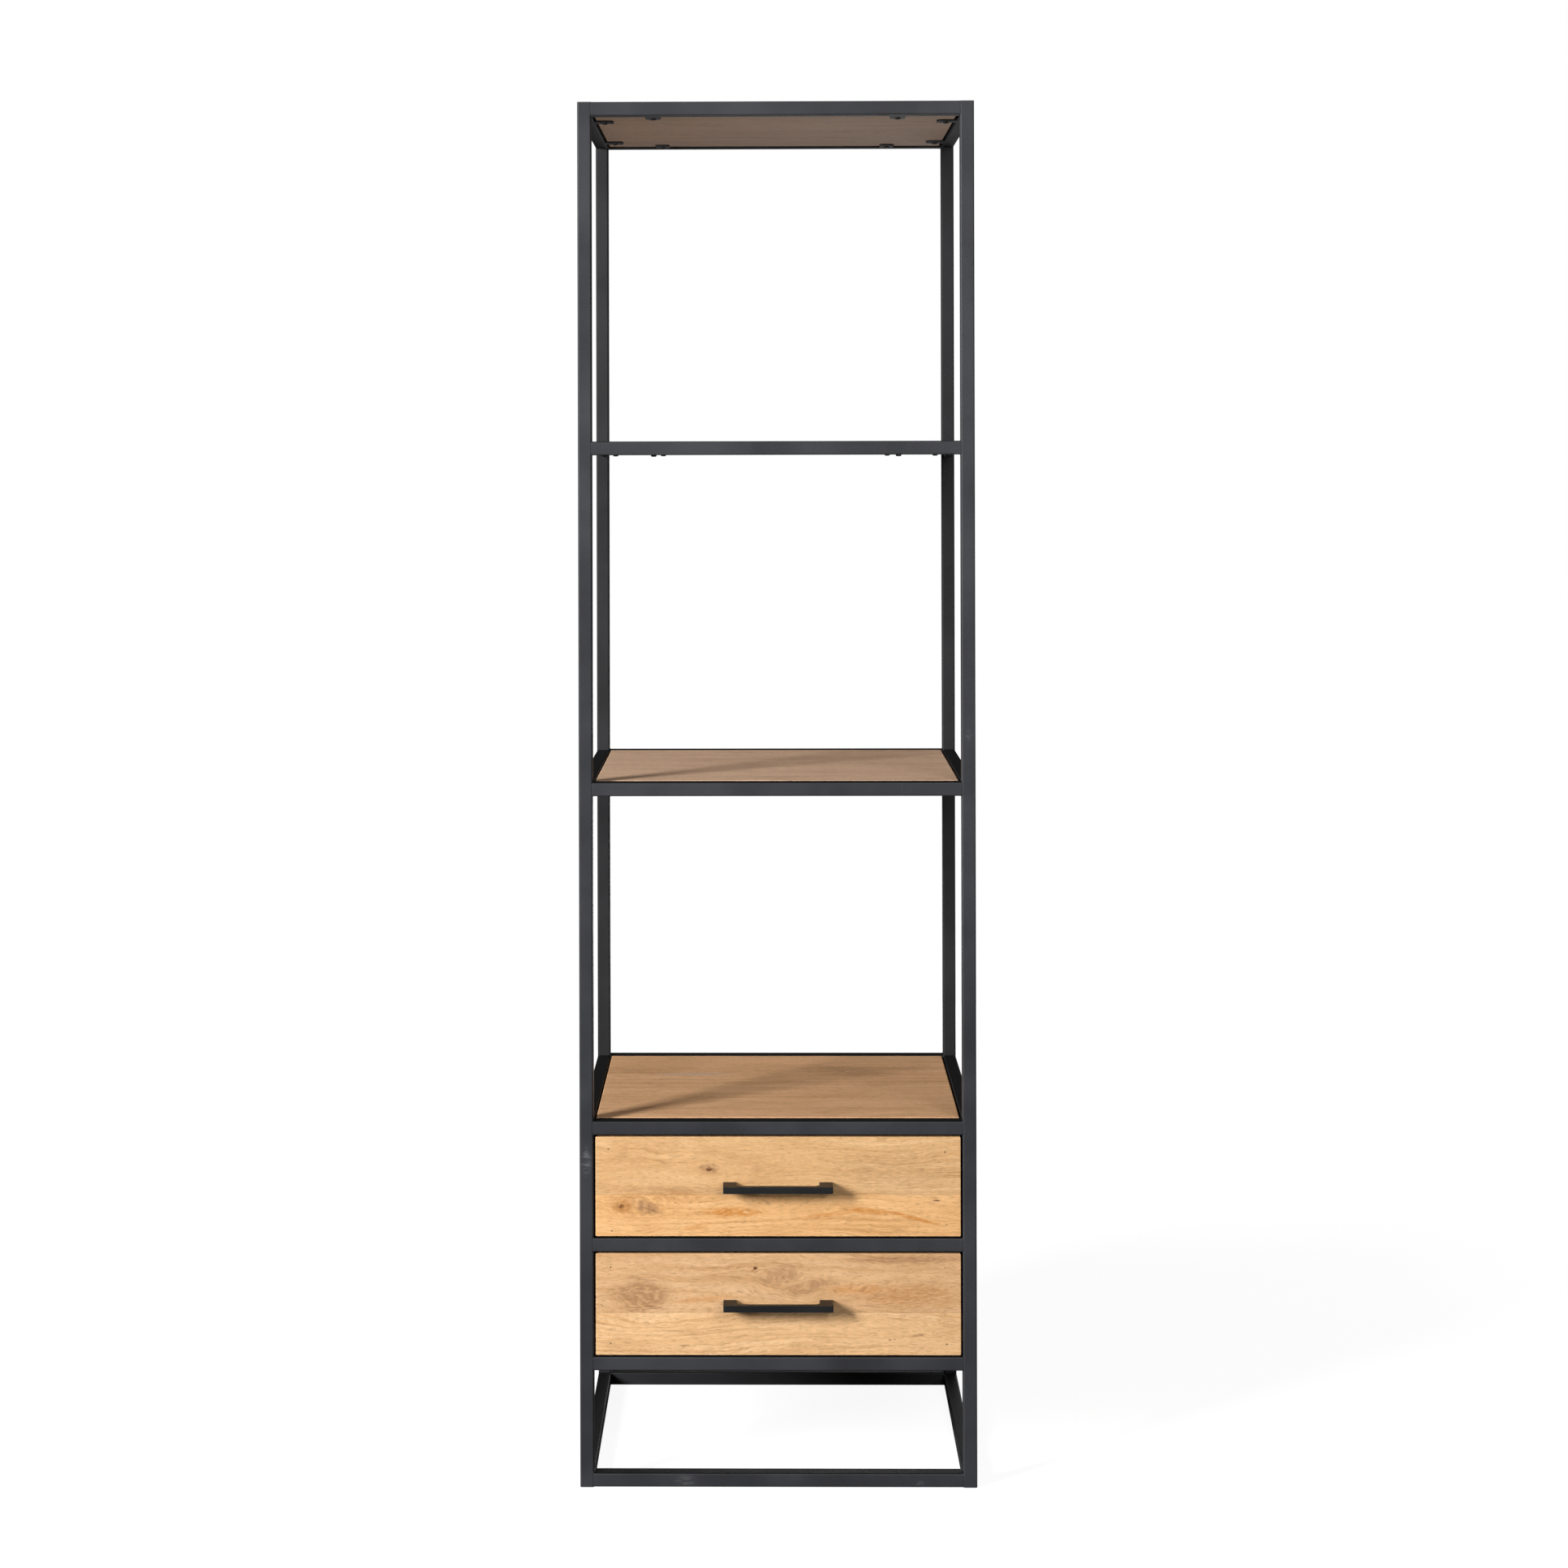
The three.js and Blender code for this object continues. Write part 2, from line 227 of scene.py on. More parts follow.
def powder_coat(name, colour, roughness, scuffs=()):
    """Black powder coat: orange peel, dust in the colour, edges rubbed thin, and pale scuffs.
    Faces that look up get painted shade: a deeper black, as if no light fell on them from above. scuffs are
    (centre, radii, strength), in metres."""
    f = Finish(name, roughness)
    f.paint(Specular_IOR_Level=0.25)
    cloud = f.noise(f.place, (9.0, 9.0, 9.0), detail=4.0)
    grit = f.noise(f.place, (1400.0, 1400.0, 1400.0), detail=2.0)
    pale = tuple(1.22 * c + 0.002 for c in colour)
    dark = tuple(0.85 * c for c in colour)
    base = f.mix(f.band(cloud, 0.3, 0.7), dark, pale)
    # Painted shade: faces that look up are mixed towards a near black, as if no light fell on them from above
    base = f.mix(f.upward(), base, PAINTED_TOP_SHADE)
    dust = f.band(grit, 0.68, 0.78)
    base = f.mix(f.math("MULTIPLY", dust, 0.25), base, DUST_GREY)
    smear = f.noise(f.place, (60.0, 60.0, 260.0), detail=4.0, roughness=0.7)
    rubbed = f.math("MULTIPLY", f.edges(0.0012), f.band(smear, 0.5, 0.72))
    base = f.mix(f.math("MULTIPLY", rubbed, 0.5), base, RUBBED_GREY)
    for centre, radii, strength in scuffs:
        away = f.vector("MULTIPLY", f.vector("SUBTRACT", f.place, centre), tuple(1 / r for r in radii))
        near = f.band(f.vector("LENGTH", away), 1.0, 0.2)
        patch = f.math("MULTIPLY", near, f.band(smear, 0.42, 0.62))
        base = f.mix(f.math("MULTIPLY", patch, strength), base, SCUFF_GREY)
    f.paint(Base_Color=base)
    f.paint(Roughness=f.math("ADD", f.math("MULTIPLY", cloud, 0.22), roughness - 0.11))
    peel = f.noise(f.place, (520.0, 520.0, 520.0), detail=1.0)
    f.paint(Normal=f.bump(grit, 0.00003, under=f.bump(peel, 0.00012)))
    return f.material


def wood(name, axes, palette, plank_width=0.09, plank_start=0.0, seed=0.0, marks=(), tints=0.1,
         tones=None, seam_depth=0.5):
    """Mango wood. axes says which object axes run along the grain, across it and into the board.
    palette is (pale, middle, dark, streak). marks are (along, across, long radius, cross radius,
    slope, colour, strength, bend) for knots and stains, in metres. tones are a colour for the plank
    below plank_start and one for the plank above it."""
    f = Finish(name, 0.55)
    f.paint(Specular_IOR_Level=0.3)
    parts = f.split(f.place)
    along, across, into = (parts["XYZ".index(a)] for a in axes)

    plank = f.math("DIVIDE", f.math("SUBTRACT", across, plank_start), plank_width)
    number = f.math("FLOOR", plank)
    value, colour = f.white_noise(f.math("ADD", number, seed))
    edge = f.math("ABSOLUTE", f.math("SUBTRACT", f.math("FRACT", plank), 0.5))
    seam_share = 0.5 - 0.0005 / plank_width
    seam = f.band(edge, seam_share - 0.0006 / plank_width, seam_share + 0.0002 / plank_width)

    # Each plank is another part of the tree, and its grain wanders and runs round the knots
    board = f.join(along, across, into)
    here = f.vector("ADD", board, f.vector("MULTIPLY", colour, (3.0, 3.0, 3.0)))
    sway = f.math("SUBTRACT", f.noise(here, (3.0, 12.0, 12.0), detail=2.0), 0.5)
    ripple = f.math("SUBTRACT", f.noise(here, (28.0, 70.0, 70.0), detail=2.0), 0.5)
    drift = f.math("ADD", f.math("MULTIPLY", sway, 0.05), f.math("MULTIPLY", ripple, 0.008))
    ragged = f.math("MULTIPLY", f.math("SUBTRACT", f.noise(here, (60.0, 240.0, 240.0)), 0.5), 0.9)
    stains = []
    for u, v, ru, rv, slope, mark_colour, strength, bend in marks:
        away = f.split(f.vector("SUBTRACT", board, (u, v, 0.0)))
        rise = f.math("SUBTRACT", away["Y"], f.math("MULTIPLY", away["X"], slope))
        across_mark = f.math("DIVIDE", rise, rv)
        distance = f.vector("LENGTH", f.join(f.math("DIVIDE", away["X"], ru), across_mark, 0.0))
        stains.append((f.band(f.math("ADD", distance, ragged), 1.25, 0.35), mark_colour, strength))
        if bend:
            pull = f.math("DIVIDE", bend, f.math("ADD", f.math("POWER", distance, 2.0), 0.8))
            drift = f.math("SUBTRACT", drift, f.math("MULTIPLY", rise, pull))
    here = f.vector("ADD", here, f.join(0.0, drift, 0.0))

    # Growth rings, which fade in and out, then mottle, fibre and pores
    pale, middle, dark, streak = palette
    streak_dark = tuple(0.78 * c for c in dark)
    rings = f.noise(here, (2.0, 190.0, 60.0), detail=3.0, roughness=0.6)
    base = f.ramp(rings, (0.32, dark), (0.48, middle), (0.68, pale))
    flat = f.band(f.noise(here, (5.0, 14.0, 14.0), detail=1.0), 0.35, 0.65)
    base = f.mix(f.math("MULTIPLY", flat, 0.65), base, middle)
    mottle = f.noise(here, (9.0, 34.0, 34.0), detail=4.0, roughness=0.6)
    base = f.mix(f.math("MULTIPLY", f.band(mottle, 0.45, 0.70), 0.75), base, streak)
    glow = f.band(f.noise(here, (6.0, 20.0, 20.0), detail=3.0), 0.52, 0.72)
    base = f.mix(f.math("MULTIPLY", glow, 0.55), base, pale)
    fibre = f.noise(here, (90.0, 620.0, 620.0), detail=3.0, roughness=0.7)
    shade = f.math("ADD", f.math("MULTIPLY", fibre, 0.62), 0.69)
    base = f.mix(1.0, base, f.join(shade, shade, shade), "MULTIPLY")
    strokes = f.band(f.noise(here, (34.0, 460.0, 460.0), detail=2.0), 0.5, 0.68)
    clusters = f.band(f.noise(here, (7.0, 26.0, 26.0), detail=2.0), 0.42, 0.62)
    base = f.mix(f.math("MULTIPLY", f.math("MULTIPLY", strokes, clusters), 0.46), base, streak_dark)
    if tones:
        upper = f.math("ADD", number, 1.0, clamp=True)
        base = f.mix(1.0, base, f.mix(upper, *tones), "MULTIPLY")
    grained = f.math("ADD", f.math("MULTIPLY", f.band(fibre, 0.62, 0.38), 0.7), 0.5)
    for mask, mark_colour, strength in stains:
        amount = f.math("MULTIPLY", f.math("MULTIPLY", mask, 1.25 * strength), grained, clamp=True)
        base = f.mix(amount, base, mark_colour)
    pores = f.band(f.noise(here, (110.0, 850.0, 850.0), detail=1.0), 0.58, 0.7)
    base = f.mix(f.math("MULTIPLY", pores, 0.34), base, tuple(0.45 * c for c in dark))
    tint = f.math("ADD", f.math("MULTIPLY", value, 2.0 * tints), 1.0 - tints)
    base = f.mix(1.0, base, f.join(tint, tint, tint), "MULTIPLY")
    base = f.mix(f.math("MULTIPLY", seam, seam_depth), base, tuple(0.35 * c for c in dark))
    f.paint(Base_Color=base)

    f.paint(Roughness=f.math("ADD", f.math("MULTIPLY", fibre, 0.16), 0.46))
    height = f.math("SUBTRACT", f.math("MULTIPLY", fibre, 0.25), f.math("MULTIPLY", pores, 0.6))
    height = f.math("SUBTRACT", height, f.math("MULTIPLY", seam, 1.5 * seam_depth))
    f.paint(Normal=f.bump(height, 0.00018))
    return f.material


def zinc(name):
    """Bright zinc plate: drawn along the member, with a faint spangle."""
    f = Finish(name, 0.42, metallic=0.85)
    drawn = f.noise(f.place, (900.0, 12.0, 900.0), detail=2.0)
    spangle = f.noise(f.place, (60.0, 60.0, 60.0), detail=3.0)
    shade = f.math("ADD", f.math("MULTIPLY", drawn, 0.5), f.math("MULTIPLY", spangle, 0.5))
    f.paint(Base_Color=f.ramp(shade, (0.3, ZINC_DULL), (0.7, ZINC_BRIGHT)))
    f.paint(Roughness=f.math("ADD", f.math("MULTIPLY", spangle, 0.25), 0.32))
    f.paint(Normal=f.bump(drawn, 0.00002))
    return f.material


def dark_iron(name, dark, worn):
    """Blued steel, worn or rusty in spots."""
    f = Finish(name, 0.55, metallic=0.6)
    spots = f.noise(f.place, (900.0, 900.0, 900.0), detail=3.0)
    f.paint(Base_Color=f.ramp(spots, (0.4, dark), (0.65, worn)))
    f.paint(Roughness=f.math("ADD", f.math("MULTIPLY", spots, 0.3), 0.4))
    f.paint(Normal=f.bump(spots, 0.00004))
    return f.material


def black_plastic(name):
    f = Finish(name, 0.6)
    grain = f.noise(f.place, (700.0, 700.0, 700.0), detail=2.0)
    scuff = f.band(f.noise(f.place, (90.0, 90.0, 90.0), detail=3.0), 0.5, 0.7)
    f.paint(Base_Color=f.mix(f.math("MULTIPLY", scuff, 0.5), PLASTIC_BLACK, PLASTIC_WORN))
    f.paint(Roughness=f.math("ADD", f.math("MULTIPLY", scuff, 0.2), 0.5))
    f.paint(Normal=f.bump(grain, 0.00005))
    return f.material


# Colours
STEEL_BLACK = (0.038, 0.0388, 0.0438)
# Painted shade: a darker copy of the steel colour for the back and side posts and rails, which the lamps
# light less
PAINTED_SHADE_STEEL_BLACK = (0.021, 0.0213, 0.0235)
# Painted shade for faces that look up: the near black that stands for the light they don't get
PAINTED_TOP_SHADE = (0.006, 0.006, 0.0062)
DUST_GREY = (0.10, 0.10, 0.105)
RUBBED_GREY = (0.14, 0.14, 0.145)
SCUFF_GREY = (0.16, 0.16, 0.165)
HANDLE_BLACK = (0.016, 0.0165, 0.017)
ZINC_DULL = (0.52, 0.53, 0.55)
ZINC_BRIGHT = (0.74, 0.75, 0.76)
PLASTIC_BLACK = (0.012, 0.012, 0.013)
PLASTIC_WORN = (0.05, 0.05, 0.05)
SCREW_BLACK = (0.020, 0.020, 0.021)
SCREW_WORN = (0.085, 0.083, 0.08)
NAIL_BLACK = (0.055, 0.04, 0.032)
NAIL_RUST = (0.14, 0.075, 0.04)
SHELF_PALETTE = ((0.87, 0.595, 0.405), (0.80, 0.535, 0.36), (0.64, 0.405, 0.255), (0.69, 0.45, 0.295))
CABINET_PALETTE = ((0.85, 0.505, 0.275), (0.77, 0.445, 0.235), (0.60, 0.325, 0.15), (0.66, 0.375, 0.185))
FRONT_PALETTE = ((0.93, 0.585, 0.29), (0.84, 0.495, 0.22), (0.63, 0.335, 0.13), (0.73, 0.41, 0.172))
BOX_PALETTE = ((0.72, 0.49, 0.28), (0.66, 0.43, 0.23), (0.54, 0.33, 0.17), (0.58, 0.37, 0.20))
PLY_PALETTE = ((0.66, 0.49, 0.31), (0.61, 0.44, 0.27), (0.52, 0.36, 0.21), (0.56, 0.40, 0.25))
KNOT = (0.16, 0.062, 0.024)
RUST = (0.52, 0.23, 0.07)
AMBER = (0.66, 0.27, 0.06)
SMOKE = (0.44, 0.235, 0.11)
PALE = (0.92, 0.57, 0.29)
WATER_STAIN = (0.50, 0.42, 0.36)

# Knots and stains on the drawer fronts: x from the middle and z up from the front's lower edge, in
# millimetres, then long radius, cross radius, slope, colour, strength and how hard they bend the grain
FRONT_MARKS = {
    "upper_drawer": (
        (-99, 97, 17.0, 9.5, -0.15, SMOKE, 0.62, 0.7),
        (-99, 97, 5.2, 4.2, 0.0, KNOT, 0.85, 0.0),
        (-200, 46, 60.0, 26.0, 0.0, RUST, 0.34, 0.0),
        (-225, 43, 14.0, 11.0, 0.0, RUST, 0.80, 0.6),
        (-226, 43, 4.4, 3.4, 0.0, KNOT, 0.70, 0.0),
        (-189, 42, 21.0, 11.0, -0.30, SMOKE, 0.72, 0.5),
        (-186, 39, 13.0, 2.0, -0.35, KNOT, 0.50, 0.0),
        (-150, 67, 110.0, 7.0, -0.02, SMOKE, 0.36, 0.0),
        (-66, 35, 46.0, 7.5, 0.0, AMBER, 0.78, 0.3),
        (-46, 35, 5.0, 1.8, 0.0, PALE, 0.70, 0.0),
        (-135, 58, 42.0, 9.0, -0.12, RUST, 0.34, 0.0),
        (-118, 13, 24.0, 5.0, 0.1, AMBER, 0.34, 0.0),
        (75, 32, 48.0, 3.6, 0.12, AMBER, 0.50, 0.0),
        (130, 37, 40.0, 5.0, -0.10, AMBER, 0.72, 0.2),
        (194, 27, 42.0, 3.2, -0.26, AMBER, 0.74, 0.0),
        (228, 52, 6.0, 1.6, 0.0, KNOT, 0.60, 0.0),
        (175, 98, 100.0, 32.0, 0.0, SMOKE, 0.20, 0.0),
    ),
    "lower_drawer": (
        (-197, 87, 44.0, 27.0, 0.0, SMOKE, 0.72, 0.6),
        (-180, 69, 17.0, 3.0, -0.12, KNOT, 0.42, 0.0),
        (-33, 126, 3.6, 2.8, 0.0, KNOT, 0.95, 0.4),
        (-37, 122, 3.0, 1.6, 0.2, RUST, 0.60, 0.0),
        (2, 115, 32.0, 15.0, 0.2, SMOKE, 0.46, 0.9),
        (46, 99, 40.0, 11.0, 0.25, SMOKE, 0.46, 0.4),
        (-107, 81, 48.0, 5.5, 0.10, AMBER, 0.32, 0.0),
        (114, 95, 50.0, 9.0, 0.0, AMBER, 0.38, 0.0),
        (187, 85, 84.0, 19.0, 0.0, RUST, 0.44, 0.3),
        (182, 138, 90.0, 6.5, 0.0, SMOKE, 0.62, 0.0),
        (145, 113, 32.0, 6.0, 0.1, PALE, 0.40, 0.0),
        (204, 116, 24.0, 4.0, 0.0, PALE, 0.35, 0.0),
        (-135, 34.5, 36.0, 0.7, 0.0, KNOT, 0.34, 0.0),
        (-134, 13.7, 9.5, 1.6, 0.0, KNOT, 0.55, 0.0),
        (202, 29, 12.5, 2.4, 0.12, KNOT, 0.52, 0.0),
        (161, 22, 3.4, 1.7, 0.0, KNOT, 0.50, 0.0),
        (168, 23, 2.4, 1.4, 0.0, KNOT, 0.42, 0.0),
    ),
}
# The same on the cabinet's top board, from the middle of its back edge, in millimetres
TOP_MARKS = (
    (-130, -112, 60.0, 7.0, 0.05, WATER_STAIN, 0.55, 0.0),
    (-200, -70, 90.0, 60.0, 0.3, SMOKE, 0.30, 0.0),
    (105, -95, 85.0, 38.0, -0.3, SMOKE, 0.30, 0.3),
    (60, -245, 90.0, 14.0, 0.1, RUST, 0.22, 0.2),
    (-60, -215, 110.0, 11.0, 0.0, PALE, 0.20, 0.0),
)
FRONT_TONES = {
    "upper_drawer": ((1.03, 0.99, 0.95), (0.92, 0.93, 0.96)),
    "lower_drawer": ((1.04, 1.08, 1.20), (0.90, 0.91, 1.02)),
}
# Nail heads on the drawer fronts: x from the middle and z up from the lower edge, in millimetres
FRONT_NAILS = {
    "upper_drawer": ((-245, 126), (-240, 8), (241, 122), (243, 17), (230, 52)),
    "lower_drawer": ((-242, 127), (-242, 17), (243, 16), (241, 126)),
}

# How far the sharp edges of the CAD nodes are rounded
EDGE_STEEL = 0.0004
EDGE_HANDLE = 0.0010
EDGE_BOARD = 0.0012
EDGE_FRONT = 0.0014
EDGE_BOX = 0.0008
EDGE_PLY = 0.0003

# Screw heads: radius and height. On a slide they are at these shares of its member's length
BOARD_SCREW = (0.0042, 0.0024)
CABINET_SCREW = (0.0040, 0.0022)
HANDLE_SCREW = (0.0038, 0.0024)
SLIDE_SCREW = (0.0034, 0.0015)
SCREW_SHARES = (0.1, 0.45, 0.85)

# Rings from the seat outwards. A washer's and a nail's are radius and height, the nail's radius as a
# share of its head. A glide's are half width, corner and height
WASHER = ((0.0048, 0.0), (0.0050, 0.0002), (0.0050, 0.0007), (0.0047, 0.0009))
NAIL = ((1.0, 0.0), (1.0, 0.00025), (0.85, 0.00035), (0.4, 0.0003), (0.3, 0.00015))
GLIDE = (
    (0.0040, 0.0015, 0.0010), (0.0052, 0.0020, 0.0002), (0.0074, 0.0020, 0.0002),
    (0.0083, 0.0020, 0.0010), (0.0083, 0.0020, 0.0040), (0.0078, 0.0018, 0.0046),
    (0.0078, 0.0018, 0.0075), (0.0082, 0.0018, 0.0080), (0.0078, 0.0018, 0.0086),
    (0.0074, 0.0018, 0.0130),
)

# Weld beads: places along the tube and heights above its face, and how far a ground side lies under it
WELD = ((-0.0011, -0.0003), (-0.0006, 0.00012), (0.0, 0.00022), (0.0006, 0.00012), (0.0011, -0.0003))
WELD_GROUND = -0.0003

# Slide balls: a row between the outer and the middle member, and one between the middle and the inner
BALL_RADIUS = 0.00115
BALL_SPACING = 0.011
BALL_COUNT = 13
BALL_X = 0.2604
OUTER_BALLS_RISE = 0.0201
OUTER_BALLS_FROM_BACK = 0.150
INNER_BALLS_RISE = 0.0165
INNER_BALLS_FROM_FRONT = 0.006

# Scuffs on the frame: centre, radii and strength
FRAME_SCUFFS = (
    ((-0.2765, FRAME_FRONT, 0.470), (0.009, 0.006, 0.026), 0.8),
    ((0.2765, FRAME_FRONT, 1.085), (0.007, 0.006, 0.012), 0.35),
    ((-0.1340, FRAME_FRONT, 0.010), (0.022, 0.006, 0.010), 0.35),
    ((-0.0140, FRAME_FRONT, 0.000), (0.006, 0.010, 0.003), 1.0),
    ((0.2040, FRAME_FRONT, 0.006), (0.008, 0.006, 0.005), 0.55),
    ((0.1800, FRAME_FRONT, 1.007), (0.0012, 0.006, 0.012), 0.5),
)


# ---------------------------------------------------------------- CAD nodes

def soften(obj, radius):
    """Merges the split corners of a CAD node's mesh and rounds its sharp edges."""
    for polygon in obj.data.polygons:
        polygon.use_smooth = True
    if obj.data.has_custom_normals:
        with bpy.context.temp_override(object=obj, active_object=obj, selected_objects=[obj]):
            bpy.ops.mesh.customdata_custom_splitnormals_clear()
    weld = obj.modifiers.new("merge", "WELD")
    weld.merge_threshold = 0.00001
    bevel = obj.modifiers.new("ease", "BEVEL")
    bevel.width = radius
    bevel.segments = 3
    bevel.limit_method = "ANGLE"
    bevel.angle_limit = math.radians(40)
    bevel.harden_normals = True
    normals = obj.modifiers.new("normals", "WEIGHTED_NORMAL")
    normals.keep_sharp = False
    normals.weight = 100


def finish_node(name, material, radius):
    obj = NODES[name]
    obj.data.materials.clear()
    obj.data.materials.append(material)
    soften(obj, radius)


def placed(marks, start):
    """Marks in metres, with start added to how far they lie across the grain."""
    return [(u / 1000, start + v / 1000, ru / 1000, rv / 1000, *rest) for u, v, ru, rv, *rest in marks]


def front_wood(drawer, seed):
    low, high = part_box(f"{drawer}_front")
    marks = placed(FRONT_MARKS[drawer], low.z)
    seam = low.z + 0.42 * (high.z - low.z)
    return wood(f"{drawer}_front_wood", "XZY", FRONT_PALETTE, plank_width=0.12, plank_start=seam,
                seed=seed, marks=marks, tones=FRONT_TONES[drawer], tints=0.0, seam_depth=0.2)


def dress_nodes():
    steel = powder_coat("frame_powder_coat", STEEL_BLACK, 0.5, FRAME_SCUFFS)
    # A darker copy of the frame's powder coat, with painted shade for the back and side posts and rails that
    # the lamps light less
    shaded = powder_coat("frame_powder_coat_painted_shade", PAINTED_SHADE_STEEL_BLACK, 0.6)
    handle = powder_coat("handle_powder_coat", HANDLE_BLACK, 0.45)
    slide = zinc("zinc_plate")
    for name in NODES:
        if name.endswith("_post") or name.endswith("_rail"):
            # Front posts, front rails and the divider take the lit finish; all other posts and rails take the
            # copy with painted shade
            outward = name.endswith("front_rail") or name.startswith("front_") or "divider" in name
            finish_node(name, steel if outward else shaded, EDGE_STEEL)
        elif name.endswith("_handle"):
            finish_node(name, handle, EDGE_HANDLE)
        elif "_slide_" in name:
            finish_node(name, slide, EDGE_STEEL)

    for number, ring in enumerate(RINGS[:4]):
        palette = CABINET_PALETTE if ring == "cabinet_top" else SHELF_PALETTE
        marks = ()
        if ring == "cabinet_top":
            marks = placed(TOP_MARKS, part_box("cabinet_top_panel")[1].y)
        grain = wood(f"{ring}_wood", "XYZ", palette, plank_width=0.118, seed=11.0 + 10.0 * number,
                     marks=marks, seam_depth=0.3)
        finish_node(f"{ring}_panel", grain, EDGE_BOARD)
    for number, side in enumerate(("left", "right")):
        grain = wood(f"cabinet_{side}_wood", "YZX", CABINET_PALETTE, plank_width=0.11,
                     seed=61.0 + 5 * number)
        finish_node(f"cabinet_{side}_panel", grain, EDGE_BOARD)
    back = wood("cabinet_back_wood", "XZY", CABINET_PALETTE, plank_width=0.11, seed=83.0)
    finish_node("cabinet_back_panel", back, EDGE_BOARD)

    for number, drawer in enumerate(DRAWERS):
        finish_node(f"{drawer}_front", front_wood(drawer, 101.0 + 7 * number), EDGE_FRONT)
        sides = wood(f"{drawer}_side_wood", "YZX", BOX_PALETTE, seed=131.0 + 7 * number)
        finish_node(f"{drawer}_left_side", sides, EDGE_BOX)
        finish_node(f"{drawer}_right_side", sides, EDGE_BOX)
        back = wood(f"{drawer}_back_wood", "XZY", BOX_PALETTE, seed=151.0 + 7 * number)
        finish_node(f"{drawer}_back", back, EDGE_BOX)
        bottom = wood(f"{drawer}_plywood", "XYZ", PLY_PALETTE, plank_width=1.0, seed=171.0 + 7 * number)
        finish_node(f"{drawer}_bottom", bottom, EDGE_PLY)
    return steel, slide


# ---------------------------------------------------------------- new pieces

def add_rings(bm, matrix, rings):
    """Skins a list of point rings, each the same length, and closes the ends."""
    skins = [[bm.verts.new(matrix @ Vector(point)) for point in ring] for ring in rings]
    for low, high in zip(skins, skins[1:]):
        for i in range(len(low)):
            j = (i + 1) % len(low)
            bm.faces.new((low[i], low[j], high[j], high[i]))
    bm.faces.new(reversed(skins[0]))
    bm.faces.new(skins[-1])


def circle(radius, z, sides=16):
    turn = math.tau / sides
    return [(radius * math.cos(i * turn), radius * math.sin(i * turn), z) for i in range(sides)]


def corners(half, corner, steps):
    """(x, y, out x, out y) round a rounded square: its corners' centres, and the way out from them."""
    places = []
    for quarter in range(4):
        for step in range(steps + 1):
            angle = math.radians(90 * (quarter + step / steps))
            cx = (half - corner) * (1 if quarter in (0, 3) else -1)
            cy = (half - corner) * (1 if quarter in (0, 1) else -1)
            places.append((cx, cy, math.cos(angle), math.sin(angle)))
    return places


def rounded(half, corner, z):
    """A ring of points round a rounded square."""
    return [(cx + corner * ux, cy + corner * uy, z) for cx, cy, ux, uy in corners(half, corner, 3)]


def facing(point, direction, turn=0.0):
    """A matrix that puts local +Z along direction at point, turned about it."""
    about = Vector(direction).to_track_quat("Z", "Y").to_matrix().to_4x4()
    return Matrix.Translation(point) @ about @ Matrix.Rotation(turn, 4, "Z")


def add_screw(bm, point, direction, size, dice):
    """A pan head with a cross recess, seated on point and facing direction."""
    radius, height = size
    matrix = facing(point, direction, dice.uniform(0, math.tau))
    recess = [circle(0.5 * radius, height), circle(0.26 * radius, height), circle(0.1 * radius, 0.4 * height)]
    recess[1] = [(x, y, 0.45 * height if i % 4 == 0 else 0.97 * height)
                 for i, (x, y, _) in enumerate(recess[1])]
    rim = [circle(0.96 * radius, 0.0), circle(radius, 0.1 * height), circle(radius, 0.4 * height),
           circle(0.9 * radius, 0.75 * height), circle(0.72 * radius, 0.95 * height)]
    add_rings(bm, matrix, rim + recess)


def make_piece(name, bm, material, body, smooth=35.0):
    mesh = bpy.data.meshes.new(name)
    bmesh.ops.recalc_face_normals(bm, faces=bm.faces)
    bm.to_mesh(mesh)
    bm.free()
    mesh.shade_smooth()
    mesh.set_sharp_from_angle(angle=math.radians(smooth))
    mesh.materials.append(material)
    obj = link(bpy.data.objects.new(name, mesh))
    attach(obj, body)


def tab_places(level):
    """The eight tab holes in a ring, at the height of the tabs' lower faces."""
    inner_x, front_y, back_y = RIGHT_X - TUBE, FRAME_FRONT + TUBE, FRAME_BACK - TUBE
    middle_y = (FRAME_FRONT + FRAME_BACK) / 2
    places = []
    for sign in (-1, 1):
        places.append((sign * TAB_ALONG_X, front_y + TAB_REACH, level - TUBE))
        places.append((sign * TAB_ALONG_X, back_y - TAB_REACH, level - TUBE))
        for x in (TAB_REACH - inner_x, inner_x - TAB_REACH):
            places.append((x, middle_y + sign * TAB_ALONG_Y, level - TUBE))
    return places


def add_board_screws(material, dice):
    for ring in RINGS[:4]:
        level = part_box(f"{ring}_front_rail")[1].z
        bm = bmesh.new()
        for point in tab_places(level):
            add_screw(bm, point, (0, 0, -1), BOARD_SCREW, dice)
        make_piece(f"{ring}_board_screws", bm, material, "frame")

    bm = bmesh.new()
    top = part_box("cabinet_top_front_rail")[0].z - TAB_REACH
    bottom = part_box("cabinet_bottom_front_rail")[1].z + TAB_REACH
    inner_x, back_y = RIGHT_X - TUBE, FRAME_BACK - TUBE
    middle_y = (FRAME_FRONT + FRAME_BACK) / 2
    for z in (top, bottom):
        for sign in (-1, 1):
            for side in (-1, 1):
                point = (side * inner_x, middle_y + sign * TAB_ALONG_Y, z)
                add_screw(bm, point, (-side, 0, 0), CABINET_SCREW, dice)
            add_screw(bm, (sign * TAB_ALONG_X, back_y, z), (0, -1, 0), CABINET_SCREW, dice)
    make_piece("cabinet_board_screws", bm, material, "frame")


